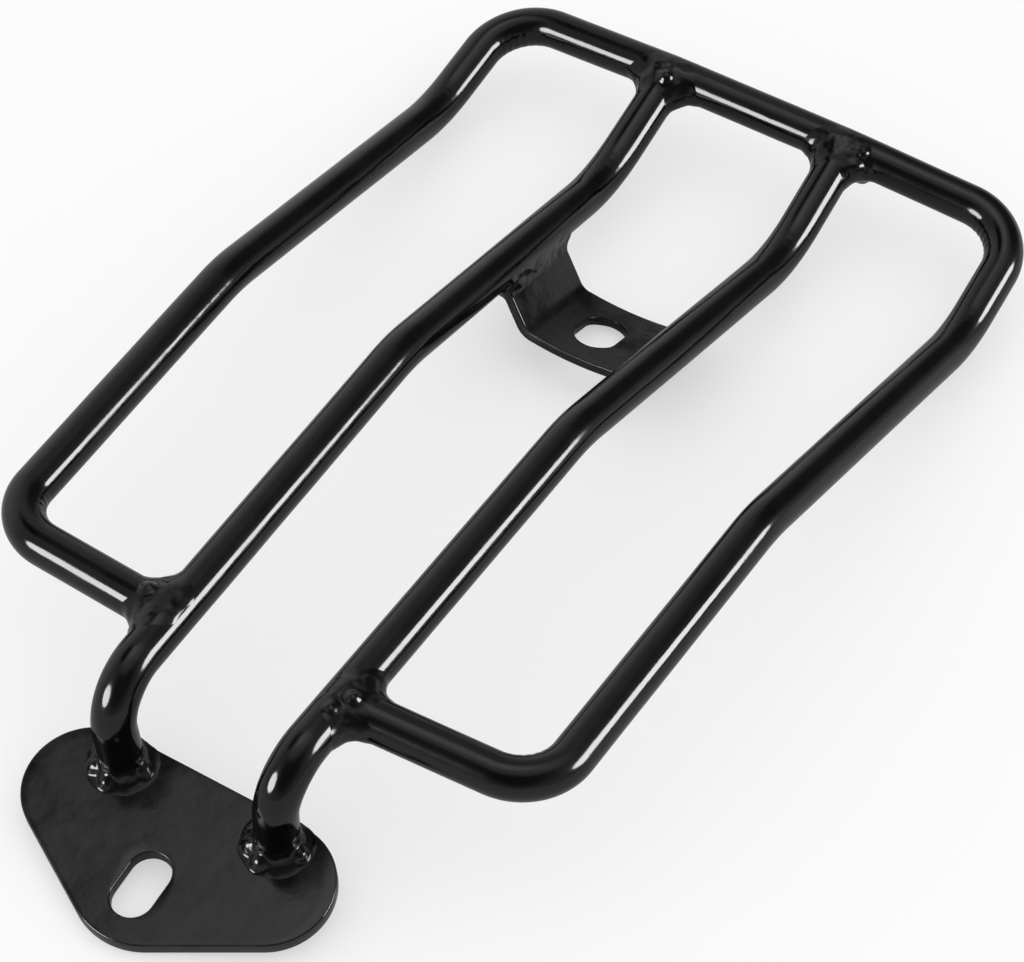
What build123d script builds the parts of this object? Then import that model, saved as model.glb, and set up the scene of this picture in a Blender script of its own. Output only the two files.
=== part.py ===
from build123d import *
import math
import os

# Welded luggage rack that bolts over a mudguard: bent round tube, one mounting plate, one strap bracket.
# Millimetres. +Z up, +Y to the rear, +X to the right, mirror plane X = 0.
# The origin is on the underside of the front mounting plate, at the middle of its slot.
# The front stretch of the rails is level, and the plate is pitched to sit on the curve of the mudguard.

# Tube
TUBE_DIAMETER = 12.7
TUBE_WALL = 1.5
TUBE_RADIUS = TUBE_DIAMETER / 2
BORE_RADIUS = TUBE_RADIUS - TUBE_WALL

# Side profile, shared by the hoop and the inner rails: a level run, a drop, then a short rise
RAIL_HEIGHT = 39.8
CORNER_SETBACK = 60.3
LEVEL_RUN = 116.0
DROP_RUN = 126.0
DROP = 32.0
RISE_RUN = 46.6
RISE = 10.1

# Half widths from the mirror plane to a tube's centre: front corner, first bend, second bend, rear corner
HOOP_HALF_WIDTHS = (88.6, 91.7, 96.4, 95.4)
INNER_HALF_WIDTHS = (27.2, 29.8, 32.9, 32.4)

# How far the inner rails lie above the hoop: front stub, first bend, second bend, crossbar
INNER_CROWNS = (1.7, 1.7, 0.6, 5.0)
STUB_SWEEP = 4.5
CROSSBAR_SWEEP = 2.7

# Bend radii at the tube's centre line
FRONT_CORNER_RADIUS = 17.0
FIRST_BEND_RADIUS = 55.0
SECOND_BEND_RADIUS = 50.0
REAR_CORNER_RADIUS = 19.0
CROSSBAR_KINK_RADIUS = 60.0
LEG_BEND_RADIUS = 15.0

# Legs: the bend's corner lies ahead of the stub, and the foot stands on the plate
LEG_REACH = 31.2
FOOT_HALF_SPACING = 25.7
FOOT_SETBACK = 28.5

# Front mounting plate: three round lobes joined by straight edges
PLATE_THICKNESS = 4.4
PLATE_PITCH = 10.0
REAR_LOBE_SPACING = 59.3
REAR_LOBE_RADIUS = 19.0
REAR_LOBE_SETBACK = 17.5
FRONT_LOBE_RADIUS = 22.5
FRONT_LOBE_SETBACK = 4.7
FRONT_SLOT_LENGTH = 20.5
FRONT_SLOT_WIDTH = 12.5

# Rear bracket: a strap bent to a shallow channel, welded under the inner rails
STRAP_THICKNESS = 3.0
BRACKET_LENGTH = 38.3
BRACKET_SETBACK = 191.2
BRACKET_DEPTH = 18.5
BRACKET_PITCH = 18.0
BRACKET_FLOOR_HALF_WIDTH = 17.0
BRACKET_SAG = 0.8
BRACKET_BEND_RADIUS = 5.0
BRACKET_SAG_RADIUS = 80.0
REAR_SLOT_LENGTH = 20.0
REAR_SLOT_WIDTH = 13.5

# Weld fillets
TUBE_WELD_LEG = 2.6
FOOT_WELD_LEG = 3.8
STRAP_WELD_LEG = 2.4

FRONT, FIRST, SECOND, REAR = range(4)
LEFT, RIGHT = -1, 1
STATION_Y = (
    CORNER_SETBACK,
    CORNER_SETBACK + LEVEL_RUN,
    CORNER_SETBACK + LEVEL_RUN + DROP_RUN,
    CORNER_SETBACK + LEVEL_RUN + DROP_RUN + RISE_RUN,
)
STATION_Z = (RAIL_HEIGHT, RAIL_HEIGHT, RAIL_HEIGHT - DROP, RAIL_HEIGHT - DROP + RISE)


def straight_bar(start, end, radius):
    """A round bar between two points."""
    along = end - start
    section = Plane(origin=start, z_dir=along) * Circle(radius)
    return extrude(section, amount=along.length)


def bent_bar(points, bend_radii, radius):
    """A round bar along straight runs joined by tangent bends, one bend radius for each inner point."""
    corners = [Vector(*point) for point in points]
    start = corners[0]
    pieces = []
    for previous, corner, following, bend_radius in zip(corners, corners[1:], corners[2:], bend_radii):
        into = (corner - previous).normalized()
        out_of = (following - corner).normalized()
        turn = into.get_angle(out_of)
        tangent = bend_radius * math.tan(math.radians(turn) / 2)
        bend_start = corner - into * tangent
        bend_axis = into.cross(out_of).normalized()
        centre = bend_start + bend_axis.cross(into) * bend_radius
        section = Plane(origin=bend_start, z_dir=into) * Circle(radius)
        pieces.append(straight_bar(start, bend_start, radius))
        pieces.append(revolve(section, axis=Axis(centre, bend_axis), revolution_arc=turn))
        start = corner + out_of * tangent
    pieces.append(straight_bar(start, corners[-1], radius))
    return pieces[0].fuse(*pieces[1:])


def mirrored(points):
    """The same points on the other side of the mirror plane."""
    return [(-x, y, z) for x, y, z in points]


def station(half_widths, index, crown=0.0, sweep=0.0):
    """A point on a right-hand rail's centre line at one of the four stations."""
    return (half_widths[index], STATION_Y[index] - sweep, STATION_Z[index] + crown)


def plate_point(setback, height=0.0, offset=0.0):
    """A point of the mirror plane given along the plate, above its underside."""
    pitch = math.radians(PLATE_PITCH)
    y = setback * math.cos(pitch) - height * math.sin(pitch)
    z = setback * math.sin(pitch) + height * math.cos(pitch)
    return (offset, y, z)


def hoop_points():
    """Left stub, left side, crossbar, right side and right stub, as one centre line."""
    stub_end = (0.0, CORNER_SETBACK - STUB_SWEEP, RAIL_HEIGHT + INNER_CROWNS[FRONT])
    stub_end = (INNER_HALF_WIDTHS[FRONT],) + stub_end[1:]
    joint = station(INNER_HALF_WIDTHS, REAR, INNER_CROWNS[REAR], CROSSBAR_SWEEP)
    side = [station(HOOP_HALF_WIDTHS, index) for index in (FRONT, FIRST, SECOND, REAR)]
    right = [stub_end] + side + [joint]
    return mirrored(right) + right[::-1]


def hoop_radii():
    """Bend radii of the hoop in the order of its points."""
    side = [FRONT_CORNER_RADIUS, FIRST_BEND_RADIUS, SECOND_BEND_RADIUS, REAR_CORNER_RADIUS]
    half = side + [CROSSBAR_KINK_RADIUS]
    return half + half[::-1]


def rail_points():
    """The right inner rail from inside the plate, up the leg and back to the crossbar's centre."""
    front_y = CORNER_SETBACK - STUB_SWEEP - LEG_REACH
    leg_corner = (INNER_HALF_WIDTHS[FRONT], front_y, RAIL_HEIGHT + INNER_CROWNS[FRONT])
    foot = plate_point(FOOT_SETBACK, PLATE_THICKNESS / 2, FOOT_HALF_SPACING)
    bends = [station(INNER_HALF_WIDTHS, index, INNER_CROWNS[index]) for index in (FIRST, SECOND)]
    joint = station(INNER_HALF_WIDTHS, REAR, INNER_CROWNS[REAR], CROSSBAR_SWEEP)
    return [foot, leg_corner] + bends + [joint]


def rail_radii():
    """Bend radii of an inner rail in the order of its points."""
    return [LEG_BEND_RADIUS, FIRST_BEND_RADIUS, SECOND_BEND_RADIUS]


def on_side(points, side):
    """The right-hand points, or their mirror image for the left."""
    return points if side == RIGHT else mirrored(points)


def rail_bar(side, radius):
    """A bar along one inner rail's centre line."""
    return bent_bar(on_side(rail_points(), side), rail_radii(), radius)


def slot_cutter(length, width, reach, plane):
    """A cutter for a fore-and-aft slot, centred on a plane and reaching past both faces of a sheet."""
    return extrude(plane * SlotOverall(length, width, rotation=90), amount=reach, both=True)


def plate_plane(height=0.0):
    """The plane of the plate's underside, or one parallel to it."""
    pitch = math.radians(PLATE_PITCH)
    normal = (0.0, -math.sin(pitch), math.cos(pitch))
    return Plane(origin=plate_point(0.0, height), x_dir=(1, 0, 0), z_dir=normal)


def plate_outline():
    """The plate's outline on its own plane: three round lobes joined by straight edges."""
    half_spacing = REAR_LOBE_SPACING / 2
    lobes = [
        Pos(-half_spacing, REAR_LOBE_SETBACK) * Circle(REAR_LOBE_RADIUS),
        Pos(half_spacing, REAR_LOBE_SETBACK) * Circle(REAR_LOBE_RADIUS),
        Pos(0, FRONT_LOBE_SETBACK) * Circle(FRONT_LOBE_RADIUS),
    ]
    return make_hull([lobe.edge() for lobe in lobes])


def make_plate():
    """Flat plate with a slot at its middle."""
    blank = extrude(plate_plane() * plate_outline(), amount=PLATE_THICKNESS)
    reach = 2 * PLATE_THICKNESS
    return blank - slot_cutter(FRONT_SLOT_LENGTH, FRONT_SLOT_WIDTH, reach, plate_plane())


def below_feet():
    """A block under both feet, from the plane of the plate's top face down."""
    top = plate_plane(PLATE_THICKNESS) * Pos(0, FOOT_SETBACK)
    return extrude(top * Rectangle(4 * FOOT_HALF_SPACING, 4 * TUBE_DIAMETER), amount=-RAIL_HEIGHT)


def front_half():
    """A block that holds the front of the rack, to the middle of the level run."""
    size = 4 * (CORNER_SETBACK + LEVEL_RUN)
    return Pos(0, CORNER_SETBACK + LEVEL_RUN / 2 - size / 2, 0) * Box(size, size, size)


def inner_rail_at_bracket():
    """Centre of the right inner rail where the bracket is welded on."""
    share = (BRACKET_SETBACK - LEVEL_RUN) / DROP_RUN
    first = Vector(*station(INNER_HALF_WIDTHS, FIRST, INNER_CROWNS[FIRST]))
    second = Vector(*station(INNER_HALF_WIDTHS, SECOND, INNER_CROWNS[SECOND]))
    return first + (second - first) * share


def bracket_plane(drop=0.0):
    """Across the rack through the rails' centres at the bracket: X to the right, local Y up."""
    pitch = math.radians(BRACKET_PITCH)
    rail = inner_rail_at_bracket()
    up = Vector(0.0, math.sin(pitch), math.cos(pitch))
    origin = Vector(0.0, rail.Y, rail.Z) - up * drop
    return Plane(origin=origin, x_dir=(1, 0, 0), z_dir=Vector(1, 0, 0).cross(up))


def flange_points():
    """The right flange's centre line on the bracket plane, from the floor's bend to the rail."""
    return (BRACKET_FLOOR_HALF_WIDTH, BRACKET_SAG - BRACKET_DEPTH), (inner_rail_at_bracket().X, 0.0)


def bracket_blank(width, length):
    """The bent strap, or a thicker or longer one, with its edges still at the rails' centres."""
    right = flange_points()
    left = [(-x, y) for x, y in right[::-1]]
    radii = [BRACKET_BEND_RADIUS, BRACKET_SAG_RADIUS, BRACKET_BEND_RADIUS]
    line = FilletPolyline(*left, (0.0, -BRACKET_DEPTH), *right, radius=radii)
    section = bracket_plane() * trace(line, line_width=width)
    return extrude(section, amount=length / 2, both=True)


def make_bracket(rail_bars):
    """Bent strap with a slot, its edges cut to the rails."""
    floor = bracket_plane(BRACKET_DEPTH)
    level = Plane(origin=floor.origin, x_dir=(1, 0, 0), z_dir=floor.y_dir)
    slot = slot_cutter(REAR_SLOT_LENGTH, REAR_SLOT_WIDTH, 3 * STRAP_THICKNESS, level)
    strap = bracket_blank(STRAP_THICKNESS, BRACKET_LENGTH) - rail_bars[LEFT] - rail_bars[RIGHT]
    return largest(strap) - slot


def largest(shape):
    """The largest solid of a shape, without the offcuts."""
    return Part() + max(shape.solids(), key=lambda solid: solid.volume)


def two_passes(collar, plane):
    """The two deposits that a collar of weld is made of: ahead of a plane's face, and behind it."""
    return [split(collar, bisect_by=plane, keep=keep) for keep in (Keep.TOP, Keep.BOTTOM)]


def foot_welds(side, rail):
    """Rear and front welds round a leg's foot, no wider than the plate."""
    foot = Vector(*plate_point(FOOT_SETBACK, PLATE_THICKNESS, side * FOOT_HALF_SPACING))
    top = plate_plane(PLATE_THICKNESS)
    base = Plane(origin=foot, x_dir=(1, 0, 0), z_dir=top.z_dir)
    crest = base.offset(FOOT_WELD_LEG)
    root_ring = base * Circle(TUBE_RADIUS + FOOT_WELD_LEG)
    crest_ring = crest * Circle(TUBE_RADIUS + FOOT_WELD_LEG / 3)
    on_plate = extrude(top * plate_outline(), amount=FOOT_WELD_LEG)
    collar = largest((loft([root_ring, crest_ring]) & on_plate) - rail)
    return two_passes(collar, Plane(origin=foot, x_dir=(1, 0, 0), z_dir=top.y_dir))


def crossing_welds(grown_rail, grown_hoop, rail, hoop, joint, facing):
    """Two welds where a rail and the hoop meet, either side of a plane through the joint."""
    size = 4 * TUBE_DIAMETER
    near = Pos(*joint) * Box(size, size, size)
    collar = largest((grown_rail & near & grown_hoop) - rail - hoop)
    return two_passes(collar, Plane(origin=joint, z_dir=facing))


def strap_welds(side, grown_rail, rail):
    """Outboard and inboard welds along a bracket flange, under the rail."""
    outer = bracket_blank(STRAP_THICKNESS + 2 * STRAP_WELD_LEG, BRACKET_LENGTH + 2 * STRAP_WELD_LEG)
    collars = (outer & grown_rail) - rail - bracket_blank(STRAP_THICKNESS, BRACKET_LENGTH)
    floor_end, rail_end = [Vector(side * x, y) for x, y in flange_points()]
    plane = bracket_plane()
    along = plane.from_local_coords(rail_end) - plane.from_local_coords(floor_end)
    across = along.cross(plane.z_dir) * side
    mid_surface = Plane(origin=plane.from_local_coords(rail_end), z_dir=across)
    return two_passes(largest(collars), mid_surface)


def build():
    """Every piece of the rack by name."""
    hoop = bent_bar(hoop_points(), hoop_radii(), TUBE_RADIUS)
    hoop_bore = bent_bar(hoop_points(), hoop_radii(), BORE_RADIUS)
    grown_hoop = bent_bar(hoop_points(), hoop_radii(), TUBE_RADIUS + TUBE_WELD_LEG)
    rails = {side: rail_bar(side, TUBE_RADIUS) for side in (LEFT, RIGHT)}
    front = front_half()
    coped_hoop = largest(hoop - (rails[LEFT] & front) - (rails[RIGHT] & front))
    pieces = {
        "outer_hoop": coped_hoop - hoop_bore,
        "front_mounting_plate": make_plate(),
        "rear_bracket": make_bracket(rails),
    }
    crossbar = station(INNER_HALF_WIDTHS, REAR, INNER_CROWNS[REAR], CROSSBAR_SWEEP)
    stub = station(INNER_HALF_WIDTHS, FRONT, INNER_CROWNS[FRONT], STUB_SWEEP)
    for side, name in ((LEFT, "left"), (RIGHT, "right")):
        rail = rails[side]
        grown_rail = rail_bar(side, TUBE_RADIUS + TUBE_WELD_LEG)
        coped_rail = largest(rail - below_feet() - (hoop - front))
        pieces[name + "_inner_rail"] = coped_rail - rail_bar(side, BORE_RADIUS)
        joint, = on_side([crossbar], side)
        inboard = Vector(-side, 0, 0)
        welds = crossing_welds(grown_rail, grown_hoop, rail, hoop, joint, inboard)
        pieces["weld_" + name + "_crossbar_inboard"], pieces["weld_" + name + "_crossbar_outboard"] = welds
        joint, = on_side([stub], side)
        welds = crossing_welds(grown_rail, grown_hoop, rail, hoop, joint, Vector(0, 1, 0))
        pieces["weld_" + name + "_stub_rear"], pieces["weld_" + name + "_stub_front"] = welds
        pieces["weld_" + name + "_foot_rear"], pieces["weld_" + name + "_foot_front"] = foot_welds(side, rail)
        strap_rail = rail_bar(side, TUBE_RADIUS + STRAP_WELD_LEG)
        welds = strap_welds(side, strap_rail, rail)
        pieces["weld_" + name + "_bracket_outboard"], pieces["weld_" + name + "_bracket_inboard"] = welds
    return pieces


os.makedirs("parts", exist_ok=True)
for node, piece in build().items():
    export_step(piece, os.path.join("parts", node + ".step"))
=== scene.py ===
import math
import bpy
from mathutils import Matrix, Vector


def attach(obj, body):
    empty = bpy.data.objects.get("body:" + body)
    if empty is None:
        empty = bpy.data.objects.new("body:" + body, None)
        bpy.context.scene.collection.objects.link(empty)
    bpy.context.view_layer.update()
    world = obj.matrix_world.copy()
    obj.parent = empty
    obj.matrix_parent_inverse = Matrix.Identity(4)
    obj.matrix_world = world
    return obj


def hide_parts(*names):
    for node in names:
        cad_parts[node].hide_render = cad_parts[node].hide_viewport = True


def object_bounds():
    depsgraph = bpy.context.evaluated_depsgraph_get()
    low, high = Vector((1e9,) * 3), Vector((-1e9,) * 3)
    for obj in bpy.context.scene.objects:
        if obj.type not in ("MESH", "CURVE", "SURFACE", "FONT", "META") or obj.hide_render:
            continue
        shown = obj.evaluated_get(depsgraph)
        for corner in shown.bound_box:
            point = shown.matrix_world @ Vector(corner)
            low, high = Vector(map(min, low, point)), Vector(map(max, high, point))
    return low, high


bl_info = {
    "name": "Welded Luggage Rack",
    "version": (1, 0, 0),
    "blender": (4, 5, 0),
    "location": "3D View > Sidebar > Rack",
    "description": "Builds a bolt-on luggage rack of bent tube, with its plate, bracket, welds and studio",
    "category": "Object",
}

import bmesh
import bpy
import numpy as np
from mathutils import Matrix, Vector, noise

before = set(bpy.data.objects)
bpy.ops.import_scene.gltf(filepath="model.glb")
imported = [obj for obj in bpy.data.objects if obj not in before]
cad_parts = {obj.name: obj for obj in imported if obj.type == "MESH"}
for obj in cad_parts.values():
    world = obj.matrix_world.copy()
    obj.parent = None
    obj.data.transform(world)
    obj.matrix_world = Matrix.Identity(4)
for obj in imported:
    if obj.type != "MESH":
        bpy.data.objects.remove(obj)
cad_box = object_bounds()

MM = 0.001
LEFT, RIGHT = -1, 1
SIDE_NAMES = {LEFT: "left", RIGHT: "right"}
FRONT, FIRST, SECOND, REAR = range(4)

ROUND_STEPS = 72
STRAIGHT_STEP = 4.0 * MM
BEND_STEP = 0.7 * MM
OUTLINE_STEPS = 320
LOBE_STEPS = 1440
SLOT_STEPS = 720
PLATE_RINGS = 14
STRAP_RINGS = 30
STRAP_CORNER = 1.2 * MM

WAVER_LENGTH = 22 * MM
WRINKLE_LENGTH = 3.4 * MM
BEND_FLATTENING = 0.25 * MM

TUBE_WELD_DOWN, TUBE_WELD_UP = 9 * MM, 10 * MM
FOOT_WELD_REACH, FOOT_WELD_DOWN, FOOT_WELD_UP = 13 * MM, 2.2 * MM, 9 * MM
STRAP_WELD_REACH, STRAP_WELD_PAST_END = 9 * MM, 3.5 * MM
STRAP_WELD_TOP, STRAP_WELD_BOTTOM = 1 * MM, 12 * MM
STRAP_BODY_DEPTH = 14 * MM
BLOB_WEB = 1.6 * MM
BLOB_SINK = 0.5
LUMP_SIZE, FINE_LUMP_SIZE = 4.2 * MM, 1.9 * MM
FINE_LUMPS = 0.3


# Sizes and finishes a user would change

def length(name, description, millimetres):
    """A length property, given in millimetres and held in metres."""
    return bpy.props.FloatProperty(
        name=name, description=description, default=millimetres * MM, unit="LENGTH", precision=5)


def angle(name, description, degrees):
    """An angle property, given in degrees and held in radians."""
    return bpy.props.FloatProperty(
        name=name, description=description, default=math.radians(degrees), unit="ROTATION")


def share(name, description, value):
    """A plain number from 0 to 1."""
    return bpy.props.FloatProperty(name=name, description=description, default=value, min=0, max=1)


def colour(name, description, value):
    """A colour property."""
    return bpy.props.FloatVectorProperty(
        name=name, description=description, default=value, size=3, subtype="COLOR", min=0, max=1)


class RackTubeSizes(bpy.types.PropertyGroup):
    """Round tube: the hoop and the two inner rails."""
    diameter: length("Diameter", "Outside diameter of the tube", 12.7)
    rail_height: length("Rail height", "Height of the level rails above the plate's slot", 39.8)
    corner_setback: length("Corner setback", "From the plate's slot back to the front corners", 60.3)
    level_run: length("Level run", "Level stretch of a rail", 116.0)
    drop_run: length("Drop run", "Sloping stretch of a rail, measured level", 126.0)
    drop: length("Drop", "How far the sloping stretch falls", 32.0)
    rise_run: length("Rise run", "Rear stretch of a rail, measured level", 46.6)
    rise: length("Rise", "How far the rear stretch climbs", 10.1)
    stub_sweep: length("Stub sweep", "How far the front stubs lean forwards to the inner rails", 4.5)
    crossbar_sweep: length("Crossbar sweep", "How far the crossbar bows forwards between its corners", 2.7)
    leg_reach: length("Leg reach", "From a front stub forwards to a leg", 31.2)
    foot_spacing: length("Foot half spacing", "From the middle to a leg's foot", 25.7)
    foot_setback: length("Foot setback", "From the plate's slot back to a foot, along the plate", 28.5)
    front_corner: length("Front corner radius", "Bend radius of the front corners", 17.0)
    first_bend: length("First bend radius", "Bend radius where the drop begins", 55.0)
    second_bend: length("Second bend radius", "Bend radius where the drop ends", 50.0)
    rear_corner: length("Rear corner radius", "Bend radius of the rear corners", 19.0)
    crossbar_kink: length("Crossbar kink radius", "Bend radius of the crossbar at an inner rail", 60.0)
    leg_bend: length("Leg bend radius", "Bend radius at the top of a leg", 15.0)
    wrinkle: length("Wrinkle height", "Height of the wrinkles inside a tight bend", 0.28)
    waver: length("Waver", "How far the drawn tube strays from round", 0.05)


class RackPlateSizes(bpy.types.PropertyGroup):
    """Front mounting plate and rear bracket."""
    plate_thickness: length("Plate thickness", "Thickness of the mounting plate", 4.4)
    plate_pitch: angle("Plate pitch", "How far the plate's front edge tips down", 10.0)
    rear_lobe_spacing: length("Rear lobe spacing", "Between the two rear lobes' centres", 59.3)
    rear_lobe_radius: length("Rear lobe radius", "Radius of a rear lobe", 19.0)
    rear_lobe_setback: length("Rear lobe setback", "From the slot back to the rear lobes", 17.5)
    front_lobe_radius: length("Front lobe radius", "Radius of the front lobe", 22.5)
    front_lobe_setback: length("Front lobe setback", "From the slot back to the front lobe", 4.7)
    front_slot_length: length("Front slot length", "Overall length of the plate's slot", 20.5)
    front_slot_width: length("Front slot width", "Width of the plate's slot", 12.5)
    strap_thickness: length("Strap thickness", "Thickness of the bracket's strap", 3.0)
    bracket_length: length("Bracket length", "Length of the bracket along the rack", 38.3)
    bracket_setback: length("Bracket setback", "From the front corners back to the bracket", 191.2)
    bracket_depth: length("Bracket depth", "From the rails' centres down to the bracket's floor", 18.5)
    bracket_pitch: angle("Bracket pitch", "How far the bracket's rear edge tips down", 18.0)
    bracket_floor: length("Bracket floor half width", "From the middle to a bend of the bracket", 17.0)
    bracket_sag: length("Bracket sag", "How far the bracket's floor bows down", 0.8)
    bracket_bend: length("Bracket bend radius", "Bend radius between the floor and a flange", 7.0)
    rear_slot_length: length("Rear slot length", "Overall length of the bracket's slot", 20.0)
    rear_slot_width: length("Rear slot width", "Width of the bracket's slot", 13.5)
    edge_round: length("Edge rounding", "Radius that the coating gives to cut edges", 0.55)


class RackWeldSizes(bpy.types.PropertyGroup):
    """Weld beads."""
    crown_leg: length("Crown leg", "How far the weld spreads where the tubes' tops run level", 2.4)
    corner_leg: length("Corner leg", "How far the weld spreads along both tubes in a corner", 11.0)
    foot_leg: length("Foot leg", "How far the weld spreads round a leg's foot", 6.8)
    strap_leg: length("Strap leg", "How far the weld spreads along the bracket", 6.2)
    branch_start: length("Branch start", "From a joint to the start of the skin over the branching tube", 3.5)
    reach: length("Reach", "How far a weld's skin runs along the welded tubes", 15.0)
    inset: length("Inset", "How far a weld's skin lies inside the tubes away from the weld", 0.25)
    lumpiness: length("Lumpiness", "Height of the lumps of a bead", 0.45)
    grain: length("Grain", "Size of the cells that a bead's surface is made of", 0.4)
    softness: bpy.props.IntProperty(
        name="Softness", description="How many times a bead's surface is smoothed", default=4, min=0)


class RackFinish(bpy.types.PropertyGroup):
    """Black powder coat."""
    coat: colour("Coat", "Colour of the black coating", (0.0008, 0.0008, 0.0009))
    plate_coat: colour("Plate coat", "Colour of the plate's duller coating", (0.004, 0.004, 0.0043))
    dust: colour("Dust", "Colour of the faint dust in the coating", (0.02, 0.02, 0.021))
    tube_roughness: share("Tube roughness", "Roughness of the gloss tube", 0.13)
    plate_roughness: share("Plate roughness", "Roughness of the plate", 0.2)
    bracket_roughness: share("Bracket roughness", "Roughness of the bracket", 0.24)
    weld_roughness: share("Weld roughness", "Roughness of the beads", 0.15)


class RackStage(bpy.types.PropertyGroup):
    """Floor, studio light and camera."""
    floor: colour("Floor", "Colour of the floor", (0.46, 0.46, 0.46))
    camera_place: bpy.props.FloatVectorProperty(
        name="Camera place", description="Where the camera stands", default=(0.342307, -0.418557, 0.77013),
        size=3, subtype="XYZ", unit="LENGTH", precision=5)
    camera_azimuth: angle("Camera azimuth", "How far the camera is turned about the vertical", 29.19)
    camera_elevation: angle("Camera elevation", "How far the camera looks down", 48.21)
    camera_roll: angle("Camera roll", "How far the camera is rolled", 2.79)
    camera_lens: bpy.props.FloatProperty(
        name="Lens", description="Focal length for a 36 mm sensor", default=120.19)


# Places worked out from the sizes

def tubes():
    return bpy.context.scene.rack_tubes


def plates():
    return bpy.context.scene.rack_plates


HOOP_HALF_WIDTHS = (88.6, 91.7, 96.4, 95.4)
INNER_HALF_WIDTHS = (27.2, 29.8, 32.9, 32.4)
INNER_CROWNS = (1.7, 1.7, 0.6, 5.0)

# Splashes of weld: azimuth and elevation in degrees from the joint, and radius in millimetres
CROSSBAR_BLOBS = {
    LEFT: [(168, 31, 2.4), (117, 5, 2.3), (135, -22, 1.3), (116, -41, 1.9)],
    RIGHT: [(138, 3, 2.7), (152, -47, 1.5), (116, 27, 1.5), (-173, -13, 1.7), (109, -35, 2.1)],
}
STUB_BLOBS = {
    LEFT: [(-107, 18, 2.6), (-124, 4, 1.3), (-80, 32, 2.0), (-133, -3, 2.3)],
    RIGHT: [(99, 49, 2.2), (90, 21, 1.3), (123, 3, 3.2), (79, -16, 1.7), (29, 21, 1.3), (165, 42, 1.3)],
}
FOOT_BLOBS = {
    LEFT: [(-177, -4, 1.9), (-133, 1, 2.0), (88, 10, 2.2)],
    RIGHT: [(-130, 4, 2.6), (-173, -2, 2.0), (91, 8, 1.9)],
}


def station(half_widths, index, side, inner=False, sweep=0.0):
    """Centre of a rail at the front corner, first bend, second bend or rear corner."""
    t = tubes()
    back = (0.0, t.level_run, t.level_run + t.drop_run, t.level_run + t.drop_run + t.rise_run)[index]
    height = (t.rail_height, t.rail_height, t.rail_height - t.drop, t.rail_height - t.drop + t.rise)[index]
    crown = INNER_CROWNS[index] * MM if inner else 0.0
    return Vector((side * half_widths[index] * MM, t.corner_setback + back - sweep, height + crown))


def crossbar_joint(side):
    return station(INNER_HALF_WIDTHS, REAR, side, inner=True, sweep=tubes().crossbar_sweep)


def stub_joint(side):
    return station(INNER_HALF_WIDTHS, FRONT, side, inner=True, sweep=tubes().stub_sweep)


def plate_frame():
    """From the plate's own axes, with its underside at height 0, to the rack's."""
    return Matrix.Rotation(plates().plate_pitch, 4, "X")


def foot_centre(side, height):
    return plate_frame() @ Vector((side * tubes().foot_spacing, tubes().foot_setback, height))


def hoop_route():
    """Centre line of the hoop and its bend radii, from the left stub round to the right one."""
    t = tubes()
    radii = [t.front_corner, t.first_bend, t.second_bend, t.rear_corner, t.crossbar_kink]
    halves = {}
    for side in (LEFT, RIGHT):
        between = [station(HOOP_HALF_WIDTHS, i, side) for i in range(4)]
        halves[side] = [stub_joint(side)] + between + [crossbar_joint(side)]
    return halves[LEFT] + halves[RIGHT][::-1], radii + radii[::-1]


def rail_route(side):
    """Centre line of an inner rail and its bend radii, from its foot back to the crossbar."""
    t = tubes()
    corner = stub_joint(side) - Vector((0, t.leg_reach, 0))
    bends = [station(INNER_HALF_WIDTHS, i, side, inner=True) for i in (FIRST, SECOND)]
    foot = foot_centre(side, plates().plate_thickness)
    return [foot, corner] + bends + [crossbar_joint(side)], [t.leg_bend, t.first_bend, t.second_bend]


def bracket_frame():
    """The bracket's axes, with Z up from the rails' centres, and how far out those centres are."""
    t, p = tubes(), plates()
    first = station(INNER_HALF_WIDTHS, FIRST, RIGHT, inner=True)
    second = station(INNER_HALF_WIDTHS, SECOND, RIGHT, inner=True)
    centre = first.lerp(second, (p.bracket_setback - t.level_run) / t.drop_run)
    turned = Matrix.Rotation(-p.bracket_pitch, 4, "X")
    return Matrix.Translation((0, centre.y, centre.z)) @ turned, centre.x


# Mesh helpers

def add_object(name, mesh, node, material):
    """Puts a finished mesh on the rack in place of a node of the frame."""
    piece = bpy.data.objects.new(name, mesh)
    bpy.context.scene.collection.objects.link(piece)
    mesh.materials.clear()
    mesh.materials.append(material)
    for face in mesh.polygons:
        face.use_smooth = True
    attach(piece, "root")
    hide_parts(node)
    return piece


def trace_route(corners, radii):
    """Steps along straight runs and bends: centre, direction, inside of the bend, and how sharp it is."""
    steps = []
    start = corners[0]

    def run(a, b):
        count = max(2, round((b - a).length / STRAIGHT_STEP))
        for i in range(count):
            steps.append((a.lerp(b, i / count), (b - a).normalized(), None, 0.0))

    for before, corner, after, radius in zip(corners, corners[1:], corners[2:], radii):
        into, out_of = (corner - before).normalized(), (after - corner).normalized()
        turn = into.angle(out_of)
        tangent = radius * math.tan(turn / 2)
        bend_start = corner - into * tangent
        axis = into.cross(out_of).normalized()
        centre = bend_start + axis.cross(into) * radius
        run(start, bend_start)
        count = max(6, round(radius * turn / BEND_STEP))
        for i in range(count):
            spin = Matrix.Rotation(turn * i / count, 3, axis)
            place = centre + spin @ (bend_start - centre)
            sharpness = math.sin(math.pi * i / count) / radius
            steps.append((place, spin @ into, (centre - place).normalized(), sharpness))
        start = corner + out_of * tangent
    run(start, corners[-1])
    steps.append((corners[-1].copy(), (corners[-1] - start).normalized(), None, 0.0))
    return steps


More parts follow.
